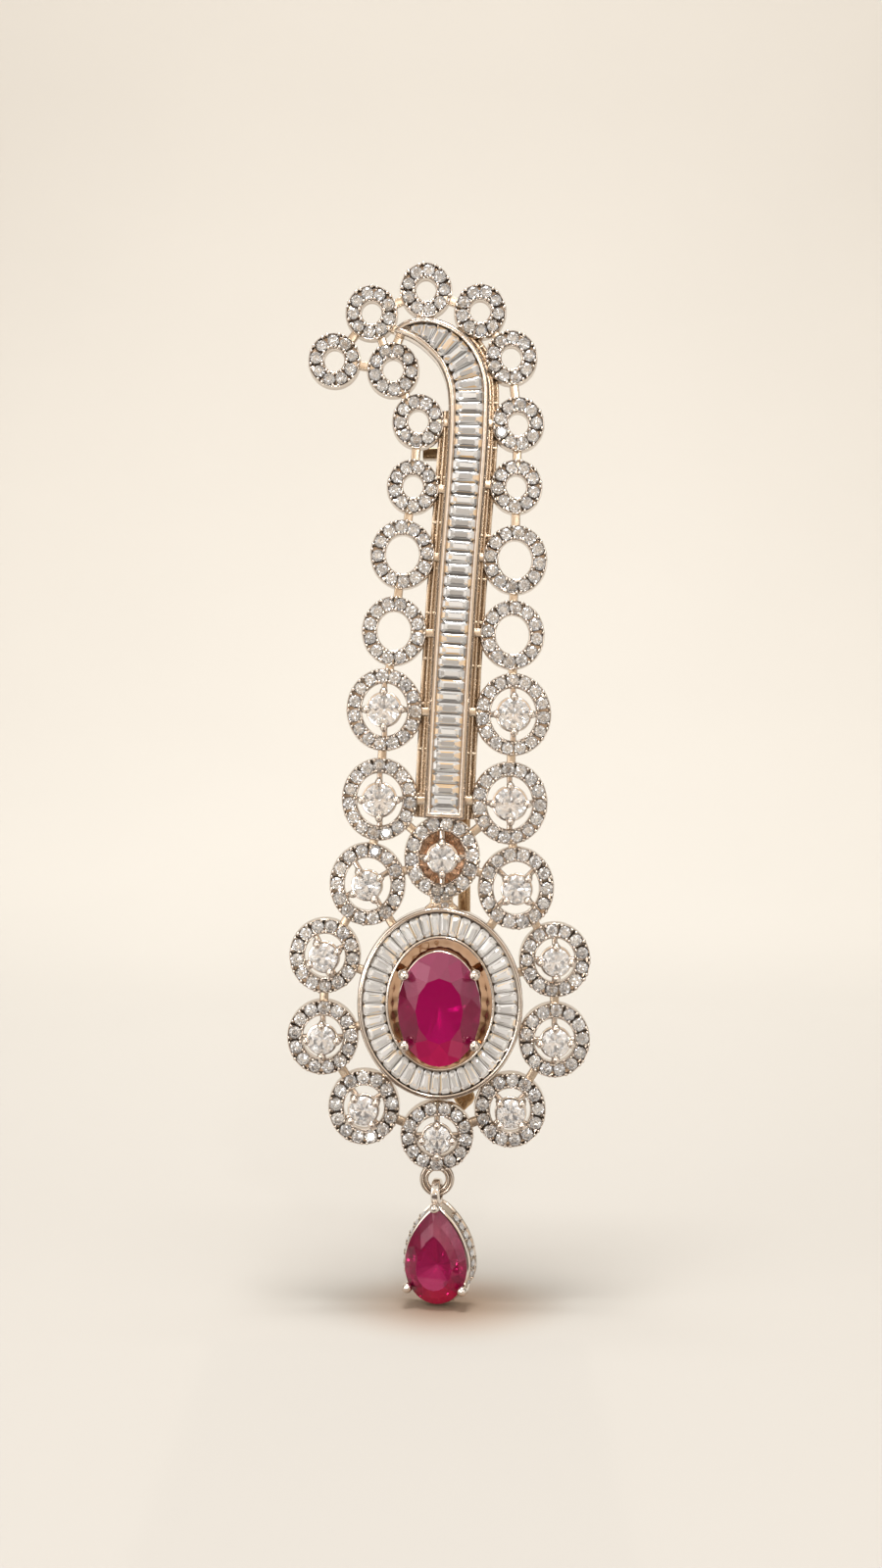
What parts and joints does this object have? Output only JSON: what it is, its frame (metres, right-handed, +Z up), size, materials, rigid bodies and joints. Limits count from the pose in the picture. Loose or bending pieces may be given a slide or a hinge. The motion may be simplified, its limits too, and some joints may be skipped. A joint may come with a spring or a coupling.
{
  "type": "kalgi turban ornament",
  "caption": "Upright turban ornament: a curling baguette feather with open rings beside it, an oval red stone in a halo and a pear drop that swings below.",
  "frame": {"origin": "the middle of the pin's rod, on its axis, where the turban's cloth holds the jewel", "axes": "+Z up towards the curled tip, the pin runs down, -Y is the front with the stones, +X to the right seen from the front"},
  "size_m": [0.0379, 0.0142, 0.1301],
  "materials": {
    "white_gold": "polished warm white gold",
    "pin_gold": "drawn and lightly polished white gold",
    "ruby": "cut and polished ruby",
    "diamond": "cut and polished diamond"
  },
  "bodies": {
    "jewel": {"frame": "white_gold", "turban_pin": "pin_gold", "ruby_oval": "ruby", "solitaire_01": "diamond", "solitaire_02": "diamond", "solitaire_03": "diamond", "solitaire_04": "diamond", "solitaire_05": "diamond", "solitaire_06": "diamond", "solitaire_07": "diamond", "solitaire_08": "diamond", "solitaire_09": "diamond", "solitaire_10": "diamond", "solitaire_11": "diamond", "solitaire_12": "diamond", "solitaire_13": "diamond", "solitaire_14": "diamond", "feather_baguettes": "diamond", "halo_baguettes": "diamond"},
    "drop": {"drop_setting": "white_gold", "ruby_drop": "ruby"}
  },
  "joints": [
    {"name": "drop_swing", "type": "hinge", "parent": "jewel", "child": "drop", "pos_m": [-0.00348, -0.0068, -0.05102], "axis": [0.9781, -0.2079, 0], "range_deg": [-60, 60]}
  ]
}
